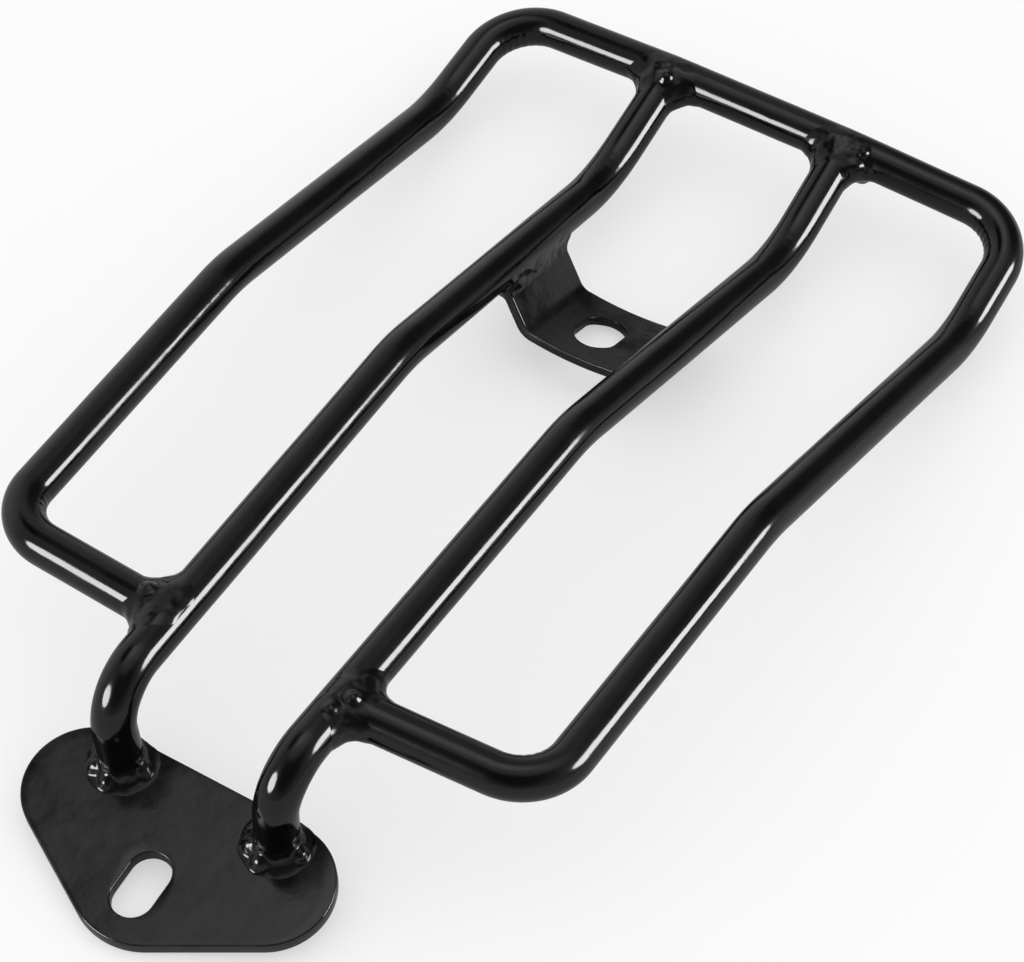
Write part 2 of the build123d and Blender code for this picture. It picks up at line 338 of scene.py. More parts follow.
def sweep_tube(name, corners, radii, seed):
    """A closed tube along a route, slightly out of round, with small wrinkles inside its tight bends."""
    t = tubes()
    radius = t.diameter / 2
    tight = 1.0 / t.leg_bend
    steps = trace_route(corners, radii)
    side = steps[0][1].orthogonal().normalized()
    rows, travelled, previous = [], 0.0, steps[0][0]
    for place, along, inside, sharpness in steps:
        side = (side - along * side.dot(along)).normalized()
        up = along.cross(side)
        travelled += (place - previous).length
        previous = place
        row = []
        for k in range(ROUND_STEPS):
            around = 2 * math.pi * k / ROUND_STEPS
            out = side * math.cos(around) + up * math.sin(around)
            swell = noise.noise((place + out * radius) / WAVER_LENGTH + Vector((seed, 0, 0))) * t.waver
            if inside is not None:
                facing = out.dot(inside)
                hard = min(1.0, sharpness / tight) ** 2
                swell -= hard * BEND_FLATTENING * (facing * facing - 0.5)
                if facing > 0:
                    ripple = math.sin(2 * math.pi * travelled / WRINKLE_LENGTH + seed)
                    swell += hard * facing ** 5 * t.wrinkle * ripple
            row.append(place + out * (radius + swell))
        rows.append(row)
    return rows_to_mesh(name, rows, closed=False, capped=True)


def rows_to_mesh(name, rows, closed, capped=False):
    """A mesh from rings of points. A closed one joins its last ring to its first."""
    mesh = bpy.data.meshes.new(name)
    count = len(rows[0])
    points = [tuple(p) for row in rows for p in row]
    faces = []
    pairs = [(r, r + 1) for r in range(len(rows) - 1)]
    if closed:
        pairs.append((len(rows) - 1, 0))
    for a, b in pairs:
        for k in range(count):
            n = (k + 1) % count
            faces.append((a * count + k, a * count + n, b * count + n, b * count + k))
    if capped:
        faces.append(tuple(range(count))[::-1])
        faces.append(tuple(range((len(rows) - 1) * count, len(rows) * count)))
    mesh.from_pydata(points, [], faces)
    mesh.update()
    tidy = bmesh.new()
    tidy.from_mesh(mesh)
    bmesh.ops.recalc_face_normals(tidy, faces=tidy.faces)
    tidy.to_mesh(mesh)
    tidy.free()
    return mesh


def even_loop(points, count):
    """A closed loop of evenly spaced points that starts at the loop's rearmost place on the middle line."""
    loop = np.vstack([points, points[:1]])
    reach = np.concatenate([[0], np.cumsum(np.linalg.norm(np.diff(loop, axis=0), axis=1))])
    marks = np.linspace(0, reach[-1], count, endpoint=False)
    return np.column_stack([np.interp(marks, reach, loop[:, i]) for i in range(2)])


def from_rear(points):
    """The same loop, anticlockwise and started at the middle of its rear side."""
    area = np.sum(points[:, 0] * np.roll(points[:, 1], -1) - np.roll(points[:, 0], -1) * points[:, 1])
    if area < 0:
        points = points[::-1]
    rear = [i for i in range(len(points)) if points[i, 1] > 0]
    start = min(rear, key=lambda i: abs(points[i, 0]))
    return np.roll(points, -start, axis=0)


def lobed_outline():
    """The plate's outline: the tight band round its three lobes."""
    p = plates()
    half = p.rear_lobe_spacing / 2
    lobes = [(x, p.rear_lobe_setback, p.rear_lobe_radius) for x in (-half, half)]
    lobes.append((0.0, p.front_lobe_setback, p.front_lobe_radius))
    turn = np.linspace(0, 2 * math.pi, LOBE_STEPS, endpoint=False)
    out = np.column_stack([np.cos(turn), np.sin(turn)])
    reach = np.array([[x * o[0] + y * o[1] + r for x, y, r in lobes] for o in out])
    return np.array([np.array(lobes[i][:2]) + lobes[i][2] * o for i, o in zip(reach.argmax(axis=1), out)])


def slot_outline(slot_length, slot_width):
    """A slot's outline: two half circles joined by straights, fore and aft."""
    turn = np.linspace(0, 2 * math.pi, SLOT_STEPS, endpoint=False)
    straight = (slot_length - slot_width) / 2
    x, y = np.cos(turn) * slot_width / 2, np.sin(turn) * slot_width / 2
    return np.column_stack([x, y + np.sign(np.sin(turn)) * straight])


def strap_outline(width, strap_length, corner):
    """A strap's flat outline, with round corners."""
    turn = np.linspace(0, 2 * math.pi, SLOT_STEPS, endpoint=False)
    x = np.cos(turn) * corner + np.sign(np.cos(turn)) * (width / 2 - corner)
    y = np.sin(turn) * corner + np.sign(np.sin(turn)) * (strap_length / 2 - corner)
    return np.column_stack([x, y])


def loop_normals(loop):
    """Unit vectors that point out of an anticlockwise loop."""
    along = np.roll(loop, -1, axis=0) - np.roll(loop, 1, axis=0)
    out = np.column_stack([along[:, 1], -along[:, 0]])
    return out / np.linalg.norm(out, axis=1, keepdims=True)


def slotted_sheet(name, outline, slot, thickness, rings, bend):
    """A sheet with a slot and round edges, as rings from the slot to the outline, laid in place by bend."""
    edge = plates().edge_round
    outer = even_loop(from_rear(outline), OUTLINE_STEPS)
    inner = even_loop(from_rear(slot), OUTLINE_STEPS)
    outer_out, inner_out = loop_normals(outer), loop_normals(inner)
    quarter = [math.radians(a) for a in (0, 22.5, 45, 67.5, 90)]
    top = []
    for a in quarter:
        top.append((inner + inner_out * edge * (1 - math.cos(a)), thickness - edge * (1 - math.sin(a))))
    inner_flat, outer_flat = inner + inner_out * edge, outer - outer_out * edge
    for i in range(1, rings):
        top.append((inner_flat + (outer_flat - inner_flat) * i / rings, thickness))
    for a in reversed(quarter):
        top.append((outer - outer_out * edge * (1 - math.cos(a)), thickness - edge * (1 - math.sin(a))))
    under = [(loop, thickness - height) for loop, height in reversed(top)]
    rows = [[bend(x, y, height) for x, y in loop] for loop, height in top + under]
    return rows_to_mesh(name, rows, closed=True)


# Shader helpers

def group_socket(group, name, direction, kind, value=None):
    socket = group.interface.new_socket(name=name, in_out=direction, socket_type=kind)
    if value is not None:
        socket.default_value = value
    return socket


def orange_peel_group():
    """Height of a sprayed coating: broad waves and fine peel."""
    group = bpy.data.node_groups.get("Coating Peel")
    if group:
        return group
    group = bpy.data.node_groups.new("Coating Peel", "ShaderNodeTree")
    group_socket(group, "Peel Size", "INPUT", "NodeSocketFloat", 500.0)
    group_socket(group, "Peel Depth", "INPUT", "NodeSocketFloat", 0.1)
    group_socket(group, "Wave Depth", "INPUT", "NodeSocketFloat", 0.1)
    group_socket(group, "Height", "OUTPUT", "NodeSocketFloat")
    nodes, links = group.nodes, group.links
    given, result = nodes.new("NodeGroupInput"), nodes.new("NodeGroupOutput")
    where = nodes.new("ShaderNodeTexCoord")
    peel = nodes.new("ShaderNodeTexNoise")
    peel.inputs["Detail"].default_value = 1.5
    wave = nodes.new("ShaderNodeTexNoise")
    wave.inputs["Scale"].default_value = 90.0
    wave.inputs["Detail"].default_value = 2.0
    fine = nodes.new("ShaderNodeMath")
    fine.operation = "MULTIPLY"
    broad = nodes.new("ShaderNodeMath")
    broad.operation = "MULTIPLY_ADD"
    links.new(where.outputs["Object"], peel.inputs["Vector"])
    links.new(where.outputs["Object"], wave.inputs["Vector"])
    links.new(given.outputs["Peel Size"], peel.inputs["Scale"])
    links.new(peel.outputs["Fac"], fine.inputs[0])
    links.new(given.outputs["Peel Depth"], fine.inputs[1])
    links.new(wave.outputs["Fac"], broad.inputs[0])
    links.new(given.outputs["Wave Depth"], broad.inputs[1])
    links.new(fine.outputs["Value"], broad.inputs[2])
    links.new(broad.outputs["Value"], result.inputs["Height"])
    return group


def mottle_group():
    """Patchy colour and roughness of a coating that took unevenly."""
    group = bpy.data.node_groups.get("Coating Mottle")
    if group:
        return group
    group = bpy.data.node_groups.new("Coating Mottle", "ShaderNodeTree")
    group_socket(group, "Coat", "INPUT", "NodeSocketColor", (0, 0, 0, 1))
    group_socket(group, "Dust", "INPUT", "NodeSocketColor", (0, 0, 0, 1))
    group_socket(group, "Patch Size", "INPUT", "NodeSocketFloat", 120.0)
    group_socket(group, "Dust Amount", "INPUT", "NodeSocketFloat", 0.2)
    group_socket(group, "Smoothest", "INPUT", "NodeSocketFloat", 0.1)
    group_socket(group, "Roughest", "INPUT", "NodeSocketFloat", 0.2)
    group_socket(group, "Color", "OUTPUT", "NodeSocketColor")
    group_socket(group, "Roughness", "OUTPUT", "NodeSocketFloat")
    nodes, links = group.nodes, group.links
    given, result = nodes.new("NodeGroupInput"), nodes.new("NodeGroupOutput")
    where = nodes.new("ShaderNodeTexCoord")
    patches = nodes.new("ShaderNodeTexNoise")
    patches.inputs["Detail"].default_value = 6.0
    patches.inputs["Roughness"].default_value = 0.62
    spread = nodes.new("ShaderNodeMapRange")
    spread.inputs["From Min"].default_value = 0.36
    spread.inputs["From Max"].default_value = 0.68
    roughness = nodes.new("ShaderNodeMapRange")
    amount = nodes.new("ShaderNodeMath")
    amount.operation = "MULTIPLY"
    tint = nodes.new("ShaderNodeMix")
    tint.data_type = "RGBA"
    links.new(where.outputs["Object"], patches.inputs["Vector"])
    links.new(given.outputs["Patch Size"], patches.inputs["Scale"])
    links.new(patches.outputs["Fac"], spread.inputs["Value"])
    links.new(spread.outputs["Result"], roughness.inputs["Value"])
    links.new(given.outputs["Smoothest"], roughness.inputs["To Min"])
    links.new(given.outputs["Roughest"], roughness.inputs["To Max"])
    links.new(spread.outputs["Result"], amount.inputs[0])
    links.new(given.outputs["Dust Amount"], amount.inputs[1])
    links.new(amount.outputs["Value"], tint.inputs["Factor"])
    links.new(given.outputs["Coat"], tint.inputs["A"])
    links.new(given.outputs["Dust"], tint.inputs["B"])
    links.new(tint.outputs["Result"], result.inputs["Color"])
    links.new(roughness.outputs["Result"], result.inputs["Roughness"])
    return group


def coated_steel(name, coat, roughness, unevenness, patch, dust_amount, peel_size, peel_depth, wave_depth):
    """Black coated steel: mottled colour and roughness, and the peel and waves of the coating."""
    material = bpy.data.materials.get(name)
    if material:
        return material
    material = bpy.data.materials.new(name)
    material.use_nodes = True
    nodes, links = material.node_tree.nodes, material.node_tree.links
    nodes.clear()
    out = nodes.new("ShaderNodeOutputMaterial")
    skin = nodes.new("ShaderNodeBsdfPrincipled")
    skin.inputs["IOR"].default_value = 1.5
    skin.inputs["Metallic"].default_value = 0.0
    mottle = nodes.new("ShaderNodeGroup")
    mottle.node_tree = mottle_group()
    mottle.inputs["Coat"].default_value = (*coat, 1)
    mottle.inputs["Dust"].default_value = (*bpy.context.scene.rack_finish.dust, 1)
    mottle.inputs["Patch Size"].default_value = patch
    mottle.inputs["Dust Amount"].default_value = dust_amount
    mottle.inputs["Smoothest"].default_value = roughness * (1 - unevenness)
    mottle.inputs["Roughest"].default_value = roughness * (1 + unevenness)
    peel = nodes.new("ShaderNodeGroup")
    peel.node_tree = orange_peel_group()
    peel.inputs["Peel Size"].default_value = peel_size
    peel.inputs["Peel Depth"].default_value = peel_depth
    peel.inputs["Wave Depth"].default_value = wave_depth
    bump = nodes.new("ShaderNodeBump")
    bump.inputs["Strength"].default_value = 1.0
    bump.inputs["Distance"].default_value = MM
    links.new(mottle.outputs["Color"], skin.inputs["Base Color"])
    links.new(mottle.outputs["Roughness"], skin.inputs["Roughness"])
    links.new(peel.outputs["Height"], bump.inputs["Height"])
    links.new(bump.outputs["Normal"], skin.inputs["Normal"])
    links.new(skin.outputs["BSDF"], out.inputs["Surface"])
    return material


def tube_coat():
    f = bpy.context.scene.rack_finish
    return coated_steel("Gloss Black Tube Coat", f.coat, f.tube_roughness, unevenness=0.25, patch=60,
                        dust_amount=0.1, peel_size=420, peel_depth=0.012, wave_depth=0.1)


def plate_coat():
    f = bpy.context.scene.rack_finish
    return coated_steel("Satin Black Plate Coat", f.plate_coat, f.plate_roughness, unevenness=0.5, patch=90,
                        dust_amount=0.5, peel_size=700, peel_depth=0.015, wave_depth=0.15)


def bracket_coat():
    f = bpy.context.scene.rack_finish
    return coated_steel("Black Bracket Coat", f.coat, f.bracket_roughness, unevenness=0.35, patch=120,
                        dust_amount=0.25, peel_size=600, peel_depth=0.03, wave_depth=0.2)


def weld_coat():
    f = bpy.context.scene.rack_finish
    return coated_steel("Gloss Black Weld Coat", f.coat, f.weld_roughness, unevenness=0.3, patch=200,
                        dust_amount=0.15, peel_size=500, peel_depth=0.015, wave_depth=0.05)


# Weld beads

def tube_body(*points):
    """Distance off a tube that runs through some points. Bodies lie a little inside the real surfaces."""
    radius = tubes().diameter / 2 - bpy.context.scene.rack_welds.inset
    ends = [np.array(point) for point in points]

    def off(where):
        nearest = []
        for start, end in zip(ends, ends[1:]):
            along = end - start
            part = np.clip((where - start) @ along / (along @ along), 0, 1)
            nearest.append(np.linalg.norm(where - start - part[..., None] * along, axis=-1))
        return np.minimum.reduce(nearest) - radius

    return off


def plate_body():
    """Distance off the mounting plate's top and its rear edge."""
    p, inset = plates(), bpy.context.scene.rack_welds.inset
    turned = np.array(plate_frame().to_3x3())

    def off(where):
        local = where @ turned
        above = local[..., 2] - p.plate_thickness + inset
        aside = np.maximum(np.abs(local[..., 0]) - p.rear_lobe_spacing / 2, 0)
        beyond = np.hypot(aside, local[..., 1] - p.rear_lobe_setback) - p.rear_lobe_radius + inset
        return np.maximum(above, beyond)

    return off


def strap_body(place, width, depth, length_along):
    """Distance off a flat strap, in its own axes."""
    inset = bpy.context.scene.rack_welds.inset
    turned, centre = np.array(place.to_3x3()), np.array(place.translation)
    half = np.array([width / 2 - inset, length_along / 2 - inset, depth])

    def off(where):
        past = np.abs((where - centre) @ turned) - half
        return np.linalg.norm(np.maximum(past, 0), axis=-1) + np.minimum(past.max(axis=-1), 0)

    return off


def melt(first, second, leg):
    """Union of two distances with a web whose legs reach out along both surfaces."""
    leg = np.maximum(leg, 1e-6)
    overlap = np.clip(1 - np.abs(first - second) / leg, 0, 1)
    return np.minimum(first, second) - overlap * overlap * leg / 4


def closed_surface(field, low, grain):
    """The surface where a grid of distances is 0, closed at the grid's sides, as points and quads."""
    field = np.pad(field, 1, constant_values=grain)
    cells = np.array(field.shape) - 1
    total, count, crossings = np.zeros((*cells, 3)), np.zeros(cells), []
    for axis in range(3):
        u, v = (axis + 1) % 3, (axis + 2) % 3
        near = np.take(field, range(cells[axis]), axis=axis)
        far = np.take(field, range(1, cells[axis] + 1), axis=axis)
        crosses = (near < 0) != (far < 0)
        place = np.stack(np.indices(crosses.shape), axis=-1).astype(float)
        place[..., axis] += near / np.where(crosses, near - far, 1.0)
        place[~crosses] = 0
        for du in (0, 1):
            for dv in (0, 1):
                part = [slice(None)] * 3
                part[u], part[v] = slice(du, du + cells[u]), slice(dv, dv + cells[v])
                total += place[tuple(part)]
                count += crosses[tuple(part)]
        crossings.append((u, v, np.argwhere(crosses), near[crosses] < 0))
    used = count > 0
    number = np.full(cells, -1)
    number[used] = np.arange(used.sum())
    quads = []
    for u, v, edges, leaving in crossings:
        corners = []
        for du, dv in ((1, 1), (0, 1), (0, 0), (1, 0)):
            cell = edges.copy()
            cell[:, u] -= du
            cell[:, v] -= dv
            corners.append(number[tuple(cell.T)])
        quad = np.stack(corners, axis=1)
        quads.append(np.where(leaving[:, None], quad, quad[:, ::-1]))
    points = (total[used] / count[used][:, None] - 1) * grain + np.array(low)
    return points, np.concatenate(quads)


def weld_skin(name, place, low, high, bodies, legs, blobs, seed):
    """One closed skin over two bodies, with a smooth lumpy web of weld between them.

    The box from low to high, in the axes of place, bounds the skin. The web's legs grow from the first
    length, where the bodies' surfaces run level with each other, to the second, where they meet square.
    A blob is a direction from the box's origin, a size, and a splash of weld there."""
    w = bpy.context.scene.rack_welds
    turned, centre = np.array(place.to_3x3()), np.array(place.translation)
    steps = [np.arange(a, b, w.grain) for a, b in zip(low, high)]
    where = np.stack(np.meshgrid(*steps, indexing="ij"), axis=-1) @ turned.T + centre
    first, second = (body(where) for body in bodies)
    slopes = [np.stack(np.gradient(field, w.grain), axis=-1) for field in (first, second)]
    openness = np.sqrt(np.clip(1 - (slopes[0] * slopes[1]).sum(axis=-1), 0, 1))
    field = melt(first, second, legs[0] + (legs[1] - legs[0]) * openness)
    for azimuth, elevation, size in blobs:
        ray = np.array(toward(azimuth, elevation))
        marks = np.linspace(2 * MM, 12 * MM, 100)[:, None] * (ray @ turned)
        cells = np.clip(((marks - np.array(low)) / w.grain).round().astype(int), 0, np.array(field.shape) - 1)
        spot = marks[np.argmax(field[tuple(cells.T)] > 0)] @ turned.T + centre - ray * size * MM * BLOB_SINK
        field = melt(field, np.linalg.norm(where - spot, axis=-1) - size * MM, BLOB_WEB)
    points, quads = closed_surface(field, low, w.grain)
    mesh = bpy.data.meshes.new(name)
    mesh.from_pydata((points @ turned.T + centre).tolist(), [], quads.tolist())
    form = bmesh.new()
    form.from_mesh(mesh)
    for _ in range(w.softness):
        bmesh.ops.smooth_vert(
            form, verts=form.verts, factor=0.5, use_axis_x=True, use_axis_y=True, use_axis_z=True)
    form.normal_update()
    spots = np.array([vertex.co for vertex in form.verts])
    proud = np.minimum.reduce([body(spots) for body in bodies])
    shift = Vector((seed * 0.37, 0, 0))
    moves = []
    for vertex, height in zip(form.verts, proud):
        amount = min(1.0, max(0.0, height / MM)) * w.lumpiness
        coarse = noise.noise(vertex.co / LUMP_SIZE + shift)
        fine = noise.noise(vertex.co / FINE_LUMP_SIZE + shift)
        moves.append(vertex.normal * amount * (coarse + FINE_LUMPS * fine))
    for vertex, move in zip(form.verts, moves):
        vertex.co += move
    form.to_mesh(mesh)
    form.free()
    return mesh


def weld_half(name, whole, point, facing):
    """The part of a weld's skin on the side of a plane that faces a direction, closed along the plane."""
    form = bmesh.new()
    form.from_mesh(whole)
    everything = form.verts[:] + form.edges[:] + form.faces[:]
    bmesh.ops.bisect_plane(form, geom=everything, plane_co=point, plane_no=facing, clear_inner=True)
    bmesh.ops.remove_doubles(form, verts=form.verts, dist=0.01 * MM)
    rim = [edge for edge in form.edges if edge.is_boundary]
    bmesh.ops.triangle_fill(form, edges=rim, use_beauty=True, normal=facing * -1)
    for edge in rim:
        edge.smooth = False
    bmesh.ops.recalc_face_normals(form, faces=form.faces)
    mesh = bpy.data.meshes.new(name)
    form.to_mesh(mesh)
    form.free()
    return mesh


def lay_weld(joint, whole, point, facings):
    """Adds the two passes of a weld, one on each side of a plane through it."""
    for part, facing in facings.items():
        node = f"weld_{joint}_{part}"
        piece = add_object(node + "_bead", weld_half(node + "_bead", whole, point, facing), node, weld_coat())


# Operators, one for each piece or group of like pieces

class RACK_OT_outer_hoop(bpy.types.Operator):
    """Sweep the outer hoop"""
    bl_idname = "rack.outer_hoop"
    bl_label = "Outer Hoop"

    def execute(self, context):
        corners, radii = hoop_route()
        mesh = sweep_tube("outer_hoop_tube", corners, radii, 1.7)
        add_object("outer_hoop_tube", mesh, "outer_hoop", tube_coat())
        return {"FINISHED"}


class RACK_OT_inner_rails(bpy.types.Operator):
    """Sweep the two inner rails with their legs"""
    bl_idname = "rack.inner_rails"
    bl_label = "Inner Rails"

    def execute(self, context):
        for side, name in SIDE_NAMES.items():
            corners, radii = rail_route(side)
            mesh = sweep_tube(name + "_rail_tube", corners, radii, 4.1 + side)
            add_object(name + "_rail_tube", mesh, name + "_inner_rail", tube_coat())
        return {"FINISHED"}


class RACK_OT_mounting_plate(bpy.types.Operator):
    """Make the three-lobed mounting plate with its slot"""
    bl_idname = "rack.mounting_plate"
    bl_label = "Mounting Plate"

    def execute(self, context):
        p = plates()
        pitch = plate_frame()

        def lay(x, y, height):
            return pitch @ Vector((x, y, height))

        slot = slot_outline(p.front_slot_length, p.front_slot_width)
        outline = lobed_outline()
        mesh = slotted_sheet("mounting_plate_sheet", outline, slot, p.plate_thickness, PLATE_RINGS, lay)
        add_object("mounting_plate_sheet", mesh, "front_mounting_plate", plate_coat())
        return {"FINISHED"}


class RACK_OT_rear_bracket(bpy.types.Operator):
    """Bend the strap bracket with its slot"""
    bl_idname = "rack.rear_bracket"
    bl_label = "Rear Bracket"

    def execute(self, context):
        p = plates()
        place, rail_x = bracket_frame()
        rise = p.bracket_depth - p.bracket_sag
        lean = math.atan2(rise, rail_x - p.bracket_floor)
        tangent = p.bracket_bend * math.tan(lean / 2)
        floor_end = p.bracket_floor - tangent
        bend_length = p.bracket_bend * lean
        flange = math.hypot(rise, rail_x - p.bracket_floor) - tangent
        reach = floor_end + bend_length + flange - tubes().diameter * 0.3

        def fold(x, y, height):
            out, up_side = abs(x), math.copysign(1.0, x)
            off = height - p.strap_thickness / 2
            sag = -p.bracket_depth + p.bracket_sag * min(1.0, (out / floor_end)) ** 2
            if out <= floor_end:
                across, tall, tilt = out, sag, 0.0
            elif out <= floor_end + bend_length:
                tilt = (out - floor_end) / p.bracket_bend
                across = floor_end + p.bracket_bend * math.sin(tilt)
                tall = -p.bracket_depth + p.bracket_sag + p.bracket_bend * (1 - math.cos(tilt))
            else:
                tilt = lean
                rest = out - floor_end - bend_length
                across = floor_end + p.bracket_bend * math.sin(lean) + rest * math.cos(lean)
                tall = -p.bracket_depth + p.bracket_sag + p.bracket_bend * (1 - math.cos(lean))
                tall += rest * math.sin(lean)
            return place @ Vector((up_side * (across - off * math.sin(tilt)), y, tall + off * math.cos(tilt)))

        outline = strap_outline(2 * reach, p.bracket_length, STRAP_CORNER)
        slot = slot_outline(p.rear_slot_length, p.rear_slot_width)
        mesh = slotted_sheet("rear_bracket_strap", outline, slot, p.strap_thickness, STRAP_RINGS, fold)
        add_object("rear_bracket_strap", mesh, "rear_bracket", bracket_coat())
        return {"FINISHED"}


class RACK_OT_tube_welds(bpy.types.Operator):
    """Lay the beads where the inner rails meet the front stubs and the crossbar"""
    bl_idname = "rack.tube_welds"
    bl_label = "Tube Welds"

    def execute(self, context):
        w = context.scene.rack_welds
        low, high = (-w.reach, -w.reach, -TUBE_WELD_DOWN), (w.reach, w.reach, TUBE_WELD_UP)
        for side, name in SIDE_NAMES.items():
            rail, _ = rail_route(side)
            joint = crossbar_joint(side)
            place = Matrix.Translation(joint)
            bar = tube_body(station(HOOP_HALF_WIDTHS, REAR, side), joint, crossbar_joint(-side))
            branch = tube_body(rail[-2], joint + (rail[-2] - joint).normalized() * w.branch_start)
            whole = weld_skin("crossbar_weld", place, low, high, (bar, branch),
                              (w.crown_leg, w.corner_leg), CROSSBAR_BLOBS[side], side + 3)
            outboard = Vector((side, 0, 0))
            lay_weld(name + "_crossbar", whole, joint, {"inboard": -outboard, "outboard": outboard})
            joint = stub_joint(side)
            place = Matrix.Translation(joint)
            hoop_end = station(HOOP_HALF_WIDTHS, FRONT, side)
            stub = tube_body(hoop_end, joint + (hoop_end - joint).normalized() * w.branch_start)
            whole = weld_skin("stub_weld", place, low, high, (tube_body(rail[1], rail[2]), stub),
                              (w.crown_leg, w.corner_leg), STUB_BLOBS[side], side + 7)
            lay_weld(name + "_stub", whole, joint, {"rear": Vector((0, 1, 0)), "front": Vector((0, -1, 0))})
        return {"FINISHED"}


class RACK_OT_foot_welds(bpy.types.Operator):
    """Lay the beads round the legs' feet"""
    bl_idname = "rack.foot_welds"
    bl_label = "Foot Welds"

    def execute(self, context):
        w = context.scene.rack_welds
        turned = plate_frame()
        back = turned.to_3x3() @ Vector((0, 1, 0))
        low = (-FOOT_WELD_REACH, -FOOT_WELD_REACH, -FOOT_WELD_DOWN)
        high = (FOOT_WELD_REACH, FOOT_WELD_REACH, FOOT_WELD_UP)
        for side, name in SIDE_NAMES.items():
            route, _ = rail_route(side)
            foot = foot_centre(side, plates().plate_thickness)
            place = Matrix.Translation(foot) @ turned.to_3x3().to_4x4()
            whole = weld_skin("foot_weld", place, low, high, (plate_body(), tube_body(route[0], route[1])),
                              (w.foot_leg, w.foot_leg), FOOT_BLOBS[side], side + 11)
            lay_weld(name + "_foot", whole, foot, {"rear": back, "front": -back})
        return {"FINISHED"}


class RACK_OT_bracket_welds(bpy.types.Operator):
    """Lay the beads along the bracket's flanges"""
    bl_idname = "rack.bracket_welds"
    bl_label = "Bracket Welds"

    def execute(self, context):
        w, p = context.scene.rack_welds, plates()
        place, rail_x = bracket_frame()
        turned = place.to_3x3()
        for side, name in SIDE_NAMES.items():
            first = station(INNER_HALF_WIDTHS, FIRST, side, inner=True)
            second = station(INNER_HALF_WIDTHS, SECOND, side, inner=True)
            to_floor = Vector((side * (p.bracket_floor - rail_x), 0, p.bracket_sag - p.bracket_depth))
            down = turned @ to_floor.normalized()
            forth = turned @ Vector((0, 1, 0))
            outward = down.cross(forth) * side
            middle = place @ Vector((side * rail_x, 0, 0))
            axes = Matrix.Translation(middle) @ Matrix((forth.cross(down), forth, down)).transposed().to_4x4()
            strap = strap_body(axes, p.strap_thickness, STRAP_BODY_DEPTH, p.bracket_length)
            half = p.bracket_length / 2 + STRAP_WELD_PAST_END
            low = (-STRAP_WELD_REACH, -half, STRAP_WELD_TOP)
            high = (STRAP_WELD_REACH, half, STRAP_WELD_BOTTOM)
            whole = weld_skin("bracket_weld", axes, low, high, (tube_body(first, second), strap),
                              (w.strap_leg, w.strap_leg), [], side + 17)
            lay_weld(name + "_bracket", whole, middle, {"inboard": -outward, "outboard": outward})
        return {"FINISHED"}


class RACK_OT_stage(bpy.types.Operator):
    """Set up the floor, the studio light and the camera"""
    bl_idname = "rack.stage"
    bl_label = "Stage"

    def execute(self, context):
        add_floor(context)
        add_surroundings(context)
        add_softboxes(context)
        add_camera(context)
        return {"FINISHED"}


# Stage

FLOOR_HALF_SIZE = 8.0
FLOOR_IN_REFLECTIONS = 0.5
FLOOR_GLOW = 0.5
WHITE_LEVEL = 1.05
ROOM_LEVEL = 0.34
# azimuth, elevation, spread in degrees, and how much lighter or darker the room is there
ROOM_PATCHES = (
    (0, 90, 35, 0.4),
    (151, 48, 52, -0.28),
    (12, 30, 34, -0.27),
    (-70, 0, 60, 0.3),
    (-84, 57, 18, -0.34),
    (-48, 77, 17, 0.35),
)
# name, azimuth and elevation in degrees, distance, width and height in metres, brightness
SOFTBOXES = (
    ("right_softbox", 67, 21, 1.75, 1.05, 0.72, 17.0),
    ("left_softbox", -152, 18, 1.6, 0.85, 0.72, 16.0),
)


def add_floor(context):
    """A wide pale floor under the rack."""
    size = FLOOR_HALF_SIZE
    mesh = bpy.data.meshes.new("studio_floor")
    corners = [(-size, -size, 0), (size, -size, 0), (size, size, 0), (-size, size, 0)]
    mesh.from_pydata(corners, [], [(0, 1, 2, 3)])
    floor = bpy.data.objects.new("studio_floor", mesh)
    context.scene.collection.objects.link(floor)
    floor.location.z = cad_box[0][2] - 0.1 * MM
    material = bpy.data.materials.new("Pale Floor")
    material.use_nodes = True
    nodes, links = material.node_tree.nodes, material.node_tree.links
    nodes.clear()
    out = nodes.new("ShaderNodeOutputMaterial")
    pale = nodes.new("ShaderNodeBsdfDiffuse")
    pale.inputs["Color"].default_value = (*context.scene.rack_stage.floor, 1)
    glow = nodes.new("ShaderNodeEmission")
    glow.inputs["Strength"].default_value = FLOOR_GLOW
    lit = nodes.new("ShaderNodeAddShader")
    dim = nodes.new("ShaderNodeBsdfDiffuse")
    dim.inputs["Color"].default_value = (*[FLOOR_IN_REFLECTIONS] * 3, 1)
    path = nodes.new("ShaderNodeLightPath")
    mix = nodes.new("ShaderNodeMixShader")
    links.new(pale.outputs["BSDF"], lit.inputs[0])
    links.new(glow.outputs["Emission"], lit.inputs[1])
    links.new(path.outputs["Is Glossy Ray"], mix.inputs[0])
    links.new(lit.outputs["Shader"], mix.inputs[1])
    links.new(dim.outputs["BSDF"], mix.inputs[2])
    links.new(mix.outputs["Shader"], out.inputs["Surface"])
    mesh.materials.append(material)


def toward(azimuth, elevation):
    """A unit vector: azimuth 0 is to the rear and 90 to the right, in degrees."""
    a, e = math.radians(azimuth), math.radians(elevation)
    return Vector((math.sin(a) * math.cos(e), math.cos(a) * math.cos(e), math.sin(e)))


